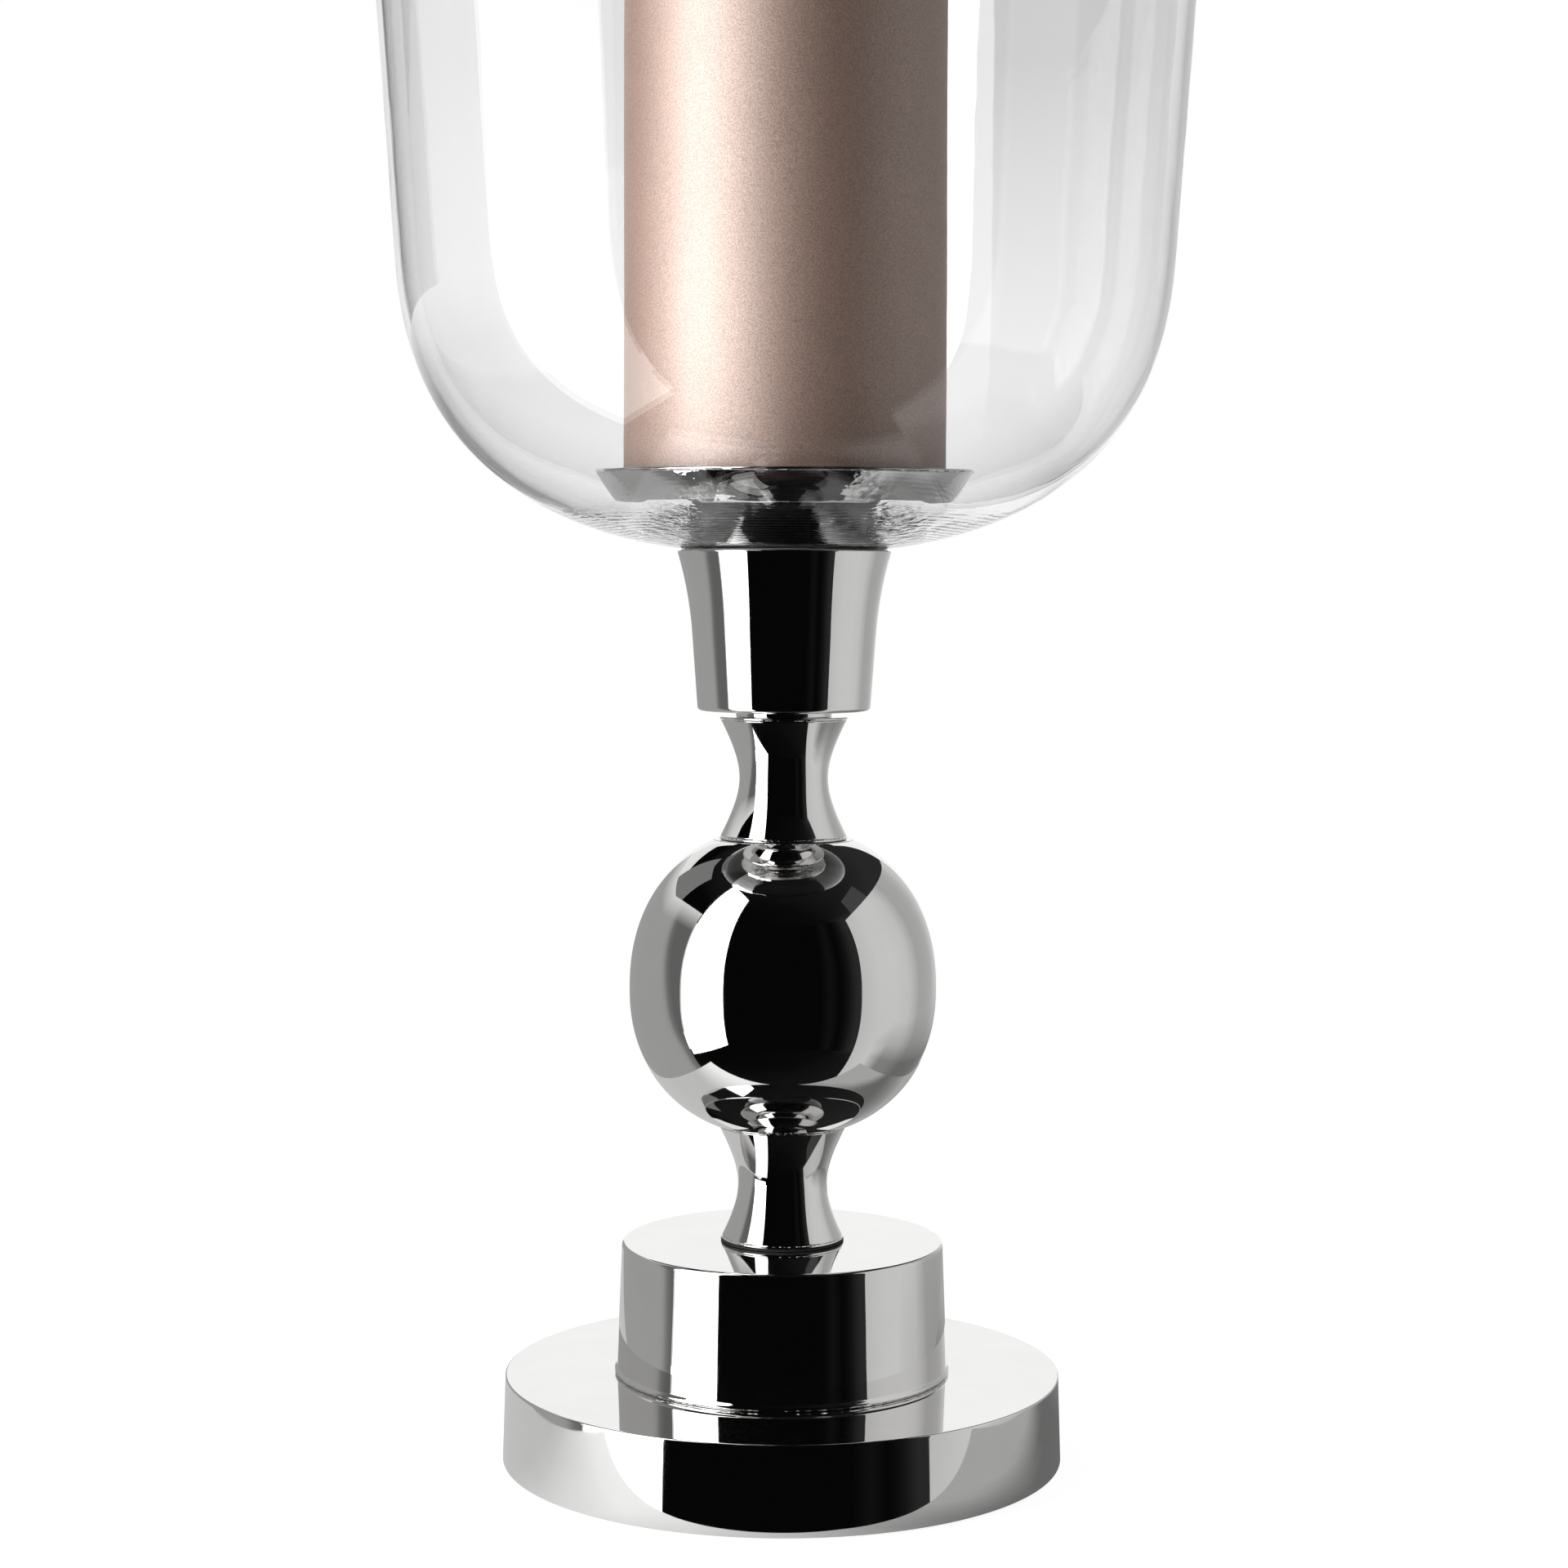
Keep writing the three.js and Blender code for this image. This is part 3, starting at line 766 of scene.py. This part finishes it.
# Necks: two waisted spools turned from bar, one on each side of the ball. The upper one ends
# in a low collar that leaves a dark gap under the bowl holder
neck_waist = 13.9
neck_roundness = 7
neck_flare = 0.6
neck_edge = 0.4


def neck_radius(from_waist):
    """Hyperbola: waist + sqrt(roundness^2 + (flare x distance from the waist)^2) - roundness."""
    return neck_waist + np.hypot(neck_roundness, neck_flare * from_waist) - neck_roundness


def neck(name, node, waist_height, collar_radius=0, collar_height=0):
    """A waisted spool with rounded edges, whose side is neck_radius. A collar may stand on it."""
    low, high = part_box(node)
    height = (high.z - low.z) / MM - collar_height
    levels = np.linspace(0, height, 90)[2:-2]
    side = kept_points(neck_radius(levels - waist_height), levels)
    foot = (neck_radius(waist_height), 0, neck_edge)
    head = (neck_radius(height - waist_height), height, neck_edge)
    top = [(bore, height + collar_height, 0.2)]
    if collar_height:
        top = [(collar_radius, height, 0.2), (collar_radius, height + collar_height, 0.2), *top]
    corners = np.concatenate([[(bore, 0, 0.2), foot], side, [head], top])
    return loft(name, turn(bored_outline(corners, low.z / MM), wide), bored=True)


lower_neck = neck("lower_neck", "lower_spool", 17.1)
fit_piece(lower_neck, nickel, "stand", "lower_spool")
upper_neck = neck("upper_neck", "upper_spool", 19, collar_radius=15, collar_height=1.6)
fit_piece(upper_neck, nickel, "stand", "upper_spool")

# Ball: a spun shell, a little flatter below its middle than above, with a flat at each pole
ball_low, ball_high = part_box("ball")
ball_radius = 48.05
ball_power = 2.2
ball_upper = 50.6
ball_lower = 46.2
ball_below = 42.1
ball_middle = ball_low.z / MM + ball_below
ball_above = ball_high.z / MM - ball_middle
ball_wall = 3


def ball_skin(inset, start, end, steps):
    """Superellipse: radius x (1 - (|height| / half)^power)^(1 / power), where half differs above
    and below. The heights run from start to end, closer together at both ends."""
    height = (start + end) / 2 - (end - start) / 2 * np.cos(np.linspace(0, math.pi, steps))
    half = np.where(height > 0, ball_upper, ball_lower) - inset
    radius = (ball_radius - inset) * (1 - (np.abs(height) / half) ** ball_power) ** (1 / ball_power)
    return kept_points(radius, height)


ball_outside = ball_skin(0, -ball_below, ball_above, 130)
ball_inside = ball_skin(ball_wall, ball_above - ball_wall, ball_wall - ball_below, 40)
ball_corners = np.concatenate(
    [
        [(bore, -ball_below, 0.2), (ball_outside[0, 0], -ball_below, 0.4)],
        ball_outside[3:-3],
        [(ball_outside[-1, 0], ball_above, 0.4), (bore, ball_above, 0.2)],
        [(bore, ball_above - ball_wall, 0.2)],
        ball_inside,
        [(bore, ball_wall - ball_below, 0.2)],
    ]
)
ball = loft("sphere", turn(bored_outline(ball_corners, ball_middle), wide), bored=True)
fit_piece(ball, nickel, "stand", "ball")

# Bowl holder: a cast collar that widens towards its rim. Inside the rim a step takes the
# silicone ring, and a recess below it clears the foot of the glass
holder_low, holder_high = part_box("bowl_holder")
holder_foot = holder_low.z / MM
holder_height = holder_high.z / MM - holder_foot
holder_radius = 27
holder_taper = 0.074
holder_flare_start = 24.4
holder_flare_rate = 0.0044
holder_rim = 1.1
seat_step = 0.9
seat_width = 5.6
recess_depth = 4


def holder_side(height):
    """Flaring cone: foot radius + taper x height + rate x (height above the flare's start)^2."""
    past = np.clip(height - holder_flare_start, 0, None)
    return holder_radius + holder_taper * height + holder_flare_rate * past**2


holder_levels = np.linspace(0, holder_height, 100)[4:-2]
holder_curve = kept_points(holder_side(holder_levels), holder_levels)
holder_lip = holder_side(holder_height)
seat_radius = holder_lip - holder_rim
holder_corners = np.concatenate(
    [
        [(bore, 0, 0.2), (holder_radius, 0, 1.4)],
        holder_curve,
        [
            (holder_lip, holder_height, 0.4),
            (seat_radius, holder_height, 0.2),
            (seat_radius, holder_height - seat_step, 0.1),
            (seat_radius - seat_width, holder_height - seat_step, 0.3),
            (seat_radius - seat_width, holder_height - seat_step - recess_depth, 0.6),
            (bore, holder_height - seat_step - recess_depth, 0.3),
        ],
    ]
)
holder_outline = bored_outline(holder_corners, holder_foot, strut=0.1)
holder = loft("holder", turn(holder_outline, wide), bored=True)
fit_piece(holder, nickel, "stand", "bowl_holder")

# Glass bowl: blown into a mould, with a hole drilled through its floor. The sides flare
# slightly, the rim is fire-polished, and the floor keeps the chill marks of the mould
glass_low, glass_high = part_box("glass_bowl")
glass_radius = 113.7
glass_shoulder = 93.2
glass_power = 2.49
glass_flare = 0.071
glass_wall = 2
glass_floor = 3
glass_hole = 9
glass_columns = 288
hole_angle = math.asin((glass_hole / glass_radius) ** (glass_power / 2))
glass_pole = glass_low.z / MM - glass_shoulder * (1 - math.cos(hole_angle) ** (2 / glass_power))
glass_height = glass_high.z / MM - glass_pole


def glass_skin(inset, thinning, drop, steps):
    """One face of the bowl. At angle a: height = inset + shoulder x (1 - cos(a)^(2/p)) and radius =
    R x sin(a)^(2/p) + flare x rise, and above the shoulder the radius only grows with the flare."""
    radius = glass_radius - thinning
    shoulder = glass_shoulder - inset
    start = math.asin((glass_hole / radius) ** (glass_power / 2))
    angle = np.linspace(start, math.pi / 2, steps)
    round_height = inset + shoulder * (1 - np.cos(angle).clip(0) ** (2 / glass_power))
    round_radius = radius * np.sin(angle) ** (2 / glass_power)
    wall_height = np.linspace(glass_shoulder, glass_height - drop, steps // 2)[1:]
    height = np.concatenate([round_height, wall_height])
    base = np.concatenate([round_radius, np.full(len(wall_height), radius)])
    return np.column_stack([base + glass_flare * (height - round_height[0]), height])


rim_radius = glass_wall / 2
glass_outside = glass_skin(0, 0, rim_radius, 110)
glass_inside = glass_skin(glass_floor, glass_wall, rim_radius, 110)[::-1]
rim_turn = np.linspace(0, math.pi, 14)[1:-1]
rim_middle = (glass_outside[-1] + glass_inside[0]) / 2
rim_arc = rim_middle + rim_radius * np.column_stack([np.cos(rim_turn), np.sin(rim_turn)])
glass_outline = np.concatenate([glass_outside, rim_arc, glass_inside])
glass_rings = turn(glass_outline, glass_columns)
glass = loft("bowl_glass", glass_rings, bored=True)
glass.data.transform(Matrix.Translation((0, 0, glass_pole * MM)))
clear, nodes, links, shader, place = finish_with(
    "clear_glass", Transmission_Weight=1.0, IOR=1.5, Roughness=0.0
)

# The marks are rings all round the floor, and crinkles in two patches where the mould's halves
# met in front. Shade is painted into the glass's colour: the band round the floor is painted
# greyer, where the eye looks along the thick glass, and dark lines are painted along the crinkles
swell_depth = 0.12
ring_rise = 0.25
crinkle_rise = 5.0


def rising(nodes, links, coordinate, start, end, top=1):
    """0 up to one place along a coordinate and the top value from another, in millimetres."""
    return between(nodes, links, coordinate, 0, top, start * MM, end * MM)


glass_split = nodes.new("ShaderNodeSeparateXYZ")
links.new(place, glass_split.inputs[0])
sideways = maths(nodes, links, "ABSOLUTE", glass_split.outputs["X"])
front_back, up_down = glass_split.outputs["Y"], glass_split.outputs["Z"]
patch = rising(nodes, links, sideways, 24, 28)
for coordinate, start, end in [(sideways, 42, 35), (front_back, 0, -20), (up_down, 297, 293)]:
    patch = maths(nodes, links, "MULTIPLY", patch, rising(nodes, links, coordinate, start, end))
slanted = nodes.new("ShaderNodeMapping")
slanted.inputs["Rotation"].default_value = (0, 0.5, 0)
slanted.inputs["Scale"].default_value = (0.5, 0.7, 1.4)
links.new(place, slanted.inputs["Vector"])
crinkle = noise(nodes, links, slanted.outputs[0], 420, detail=2)
floor_top = rising(nodes, links, up_down, 295.5, 292.5)
floor_foot = rising(nodes, links, up_down, 285, 291, top=0.5)
chill_rings = nodes.new("ShaderNodeTexWave")
chill_rings.wave_type = "RINGS"
chill_rings.rings_direction = "Z"
chill_rings.inputs["Scale"].default_value = 150
chill_rings.inputs["Distortion"].default_value = 3
chill_rings.inputs["Detail"].default_value = 1
chill_rings.inputs["Detail Scale"].default_value = 1.5
links.new(place, chill_rings.inputs["Vector"])
glass_rise = noise(nodes, links, place, 22, detail=2)
mark_rises = [(chill_rings.outputs["Fac"], floor_top, ring_rise), (crinkle, patch, crinkle_rise)]
for mark, share, rise in mark_rises:
    mark_here = maths(nodes, links, "MULTIPLY", mark, share)
    glass_rise = maths(nodes, links, "MULTIPLY_ADD", mark_here, rise, glass_rise)
bumped(nodes, links, shader, glass_rise, swell_depth)
# Painted shade in the glass's colour: grey in the band round the floor, dark lines in the crinkle
# patches
painted_glass_shade = nodes.new("ShaderNodeMix")
painted_glass_shade.data_type = "RGBA"
links.new(patch, painted_glass_shade.inputs["Factor"])
shaded_band_mask = maths(nodes, links, "MULTIPLY", floor_top, floor_foot)
painted_band_shade = two_colours(nodes, links, shaded_band_mask, (1, 1, 1), (0.72, 0.72, 0.72))
links.new(painted_band_shade, painted_glass_shade.inputs["A"])
# Dark lines painted along the crinkles as shade, not a colour of the glass
dark_line_shade_mask = between(nodes, links, crinkle, 1, 0, 0.44, 0.54)
painted_line_shade = two_colours(nodes, links, dark_line_shade_mask, (1, 1, 1), (0.3, 0.3, 0.3))
links.new(painted_line_shade, painted_glass_shade.inputs["B"])
links.new(painted_glass_shade.outputs["Result"], shader.inputs["Base Color"])
fit_piece(glass, clear, "bowl", "glass_bowl")


def glass_level(radius, inset, thinning):
    """Height of the bowl's outer face, or of a face inset from it, at a radius near its middle."""
    share = radius / (glass_radius - thinning)
    shoulder = glass_shoulder - inset
    return glass_pole + inset + shoulder * (1 - (1 - share**glass_power) ** (1 / glass_power))


# Seat ring: clear silicone, moulded to follow the underside of the glass
ring_low, ring_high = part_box("seat_ring")
ring_outer = ring_high.x / MM
ring_width = 5
ring_inner = ring_outer - ring_width
ring_radii = np.linspace(ring_inner, ring_outer, 6)
ring_top = glass_level(ring_radii, 0, 0) - glass_level(ring_outer, 0, 0) + ring_high.z / MM - 0.05
ring_corners = np.concatenate(
    [
        [(ring_inner, ring_low.z / MM, 0.15), (ring_outer, ring_low.z / MM, 0.15)],
        np.column_stack([ring_radii, ring_top, np.full(6, 0.1)])[::-1],
    ]
)
seat_ring = loft("silicone_ring", turn(edged(ring_corners, steps=4, strut=0.05), wide), bored=True)
silicone, nodes, links, shader, place = finish_with(
    "clear_silicone", Transmission_Weight=0.7, IOR=1.41, Roughness=0.3
)
milk = noise(nodes, links, place, 300)
mottled(nodes, links, shader, milk, (0.8, 0.81, 0.81), (0.9, 0.9, 0.9))
fit_piece(seat_ring, silicone, "stand", "seat_ring")

# Gasket: black rubber, moulded with a sleeve that lines the hole in the glass and keeps the
# stud off it
gasket_low, gasket_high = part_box("glass_gasket")
gasket_radius = gasket_high.x / MM
gasket_top = gasket_high.z / MM
gasket_edge = 1.25
sleeve_radius = glass_hole - 0.3
gasket_radii = np.linspace(sleeve_radius, gasket_radius, 12)
gasket_under = glass_level(gasket_radii, glass_floor, glass_wall)
gasket_under += gasket_top - gasket_edge - gasket_under[-1]
gasket_corners = np.concatenate(
    [
        [(bore, gasket_low.z / MM, 0.2), (sleeve_radius, gasket_low.z / MM, 0.2)],
        kept_points(gasket_radii, gasket_under),
        [(gasket_radius, gasket_top, 0.4), (bore, gasket_top, 0.2)],
    ]
)
gasket = loft("gasket", turn(edged(gasket_corners, strut=0.1), 128), bored=True)
rubber = black_rubber("moulded_rubber", 700, 0.5)
fit_piece(gasket, rubber, "gasket", "glass_gasket")

# Spacer: a turned disc of black plastic between gasket and plate, wider at its top, with a
# groove round its middle and a line scribed above that
spacer_low, spacer_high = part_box("plate_spacer")
spacer_top_radius = spacer_high.x / MM
spacer_foot_radius = 28
spacer_height = (spacer_high.z - spacer_low.z) / MM
groove = 1.2
scribe_height = 7.6
scribe = 0.3


def spacer_side(level, depth=0):
    """Corner of the outline on the cone from the foot's radius to the top's, less a depth."""
    widening = (spacer_top_radius - spacer_foot_radius) * level / spacer_height
    return (spacer_foot_radius + widening - depth, level)


spacer_corners = [
    (bore, 0, 0.2),
    (*spacer_side(0), 0.5),
    (*spacer_side(spacer_height / 2 - groove), 0.3),
    (*spacer_side(spacer_height / 2, groove), 0.4),
    (*spacer_side(spacer_height / 2 + groove), 0.3),
    (*spacer_side(scribe_height - scribe), 0.1),
    (*spacer_side(scribe_height, scribe), 0.1),
    (*spacer_side(scribe_height + scribe), 0.1),
    (*spacer_side(spacer_height), 0.5),
    (bore, spacer_height, 0.2),
]
spacer_outline = bored_outline(spacer_corners, spacer_low.z / MM, strut=0.1)
spacer = loft("spacer", turn(spacer_outline, wide), bored=True)
plastic = black_rubber("turned_plastic", 700, 0.42, gloss=0.15)
fit_piece(spacer, plastic, "spacer", "plate_spacer")

# Plate: a shallow dish spun from sheet, polished and plated. Its sides lean out, with hardly
# a bulge, and its lip is rounded
plate_low, plate_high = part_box("candle_plate")
plate_bottom = plate_low.z / MM
plate_lip = plate_high.x / MM
plate_depth = plate_high.z / MM - plate_bottom
plate_floor_radius = 52.7
plate_floor = 2.4
plate_wall = 1.6
plate_bulge = 0.45


def plate_side(inset, start, end, steps):
    """Lean from floor to lip plus 4 x bulge x t (1 - t), where t is the share of the depth."""
    level = np.linspace(start, end, steps)
    rise = level / plate_depth
    lean = plate_floor_radius + (plate_lip - plate_floor_radius) * rise
    bulge = 4 * plate_bulge * rise * (1 - rise)
    return kept_points(lean + bulge - inset, level)


plate_outer = plate_side(0, 0, plate_depth, 40)
plate_inner = plate_side(plate_wall, plate_depth, plate_floor, 30)
plate_corners = np.concatenate(
    [
        [(0.5, 0, 0), (plate_floor_radius, 0, 0.5)],
        plate_outer[3:-2],
        [(plate_lip, plate_depth, 0.6), (plate_inner[0, 0], plate_depth, 0.6)],
        plate_inner[2:-3],
        [(plate_inner[-1, 0], plate_floor, 0.6), (0.5, plate_floor, 0)],
    ]
)
plate = loft("plate_dish", turn(bored_outline(plate_corners, plate_bottom), wide), bored=False)
fit_piece(plate, nickel, "plate", "candle_plate")

# Stud: an M8 stud welded under the plate, which screws down into the bowl holder
stud_low, stud_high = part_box("plate_stud")
stud_heights = np.append(np.arange(stud_low.z / MM, stud_high.z / MM, fine), stud_high.z / MM)
stud_depths = np.full(len(stud_heights), thread_depth)
stud = loft("stud", threaded(stud_heights, stud_depths), bored=False)
fit_piece(stud, zinc, "plate", "plate_stud")

# Candle: a pillar of paraffin wax, dipped in a rose-coloured metallic lacquer whose fine
# flakes sparkle. Its edges are rounded and its top dips towards the wick
candle_low, candle_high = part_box("candle")
candle_foot = candle_low.z / MM
candle_radius = candle_high.x / MM
candle_height = candle_high.z / MM - candle_foot
candle_dip = 1.2
wick_bore = 1.7
bore_depth = 8
candle_levels = np.linspace(3, candle_height - 5, 120)
candle_side = kept_points(candle_radius, candle_levels)
candle_top_radii = np.linspace(candle_radius - 4, wick_bore + 1, 30)
candle_top_levels = candle_height - candle_dip * (1 - (candle_top_radii / candle_radius) ** 2)
candle_top = kept_points(candle_top_radii, candle_top_levels)
candle_corners = np.concatenate(
    [
        [(0.5, 0, 0), (candle_radius, 0, 1)],
        candle_side,
        [(candle_radius, candle_height, 2.5)],
        candle_top,
        [
            (wick_bore, candle_height - candle_dip, 0.3),
            (wick_bore, candle_height - candle_dip - bore_depth, 0.2),
            (0.3, candle_height - candle_dip - bore_depth, 0),
        ],
    ]
)
candle_rings = turn(bored_outline(candle_corners, candle_foot), wide)
candle_angle = full_turn(wide)
candle_z = candle_rings[..., 2]
broad_waves = 0.05 * np.sin(3 * candle_angle + candle_z / 31)
close_waves = 0.03 * np.sin(5 * candle_angle - candle_z / 17 + 1)
dent = 0.08 + broad_waves + close_waves
candle_rings[..., :2] *= (1 - dent / candle_radius)[..., None]
candle = loft("pillar_candle", candle_rings, bored=False)
lacquer, nodes, links, shader, place = finish_with(
    "rose_lacquer", Coat_Weight=1.0, Coat_Roughness=0.52, Coat_IOR=3.0
)
flakes = noise(nodes, links, place, 2200, detail=1)
clouds = noise(nodes, links, place, 35, detail=3)
mottled(nodes, links, shader, flakes, (0.33, 0.18, 0.115), (0.6, 0.37, 0.262), low=0.36, high=0.64)
links.new(between(nodes, links, flakes, 0.6, 0.85), shader.inputs["Metallic"])
flake_gloss = between(nodes, links, flakes, 0.72, 0.58)
cloud_share = 0.06
grit = maths(nodes, links, "MULTIPLY_ADD", clouds, cloud_share, flake_gloss)
links.new(grit, shader.inputs["Roughness"])
bumped(nodes, links, shader, flakes, 0.1)
links.new(shader.inputs["Normal"].links[0].from_socket, shader.inputs["Coat Normal"])
fit_piece(candle, lacquer, "pillar", "candle")

# Wick: a flat-plaited cotton cord, waxed, which stands in the candle's bore
wick_low, wick_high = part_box("wick")
wick_radius = 1.4
wick_angle = full_turn(36)
wick_heights = np.linspace(wick_low.z / MM, wick_high.z / MM, 150)[:, None]
plait_turn = wick_heights * 1.1
left_strands = np.abs(np.cos(1.5 * wick_angle - plait_turn))
right_strands = np.abs(np.cos(1.5 * wick_angle + plait_turn))
plait = np.maximum(left_strands, right_strands)
wick_end = np.clip((wick_heights[-1] - wick_heights) / 1.2, 0, 1) ** 0.5
wick_reach = wick_radius * (0.8 + 0.2 * plait) * (0.55 + 0.45 * wick_end)
wick = loft("plaited_wick", around(wick_reach, wick_angle, wick_heights), bored=False)
cotton, nodes, links, shader, place = finish_with("waxed_cotton", Roughness=0.75, Sheen_Weight=0.2)
yarn = noise(nodes, links, place, 3000, detail=3)
mottled(nodes, links, shader, yarn, (0.62, 0.57, 0.47), (0.86, 0.83, 0.75))
bumped(nodes, links, shader, yarn, 0.1)
fit_piece(wick, cotton, "pillar", "wick")
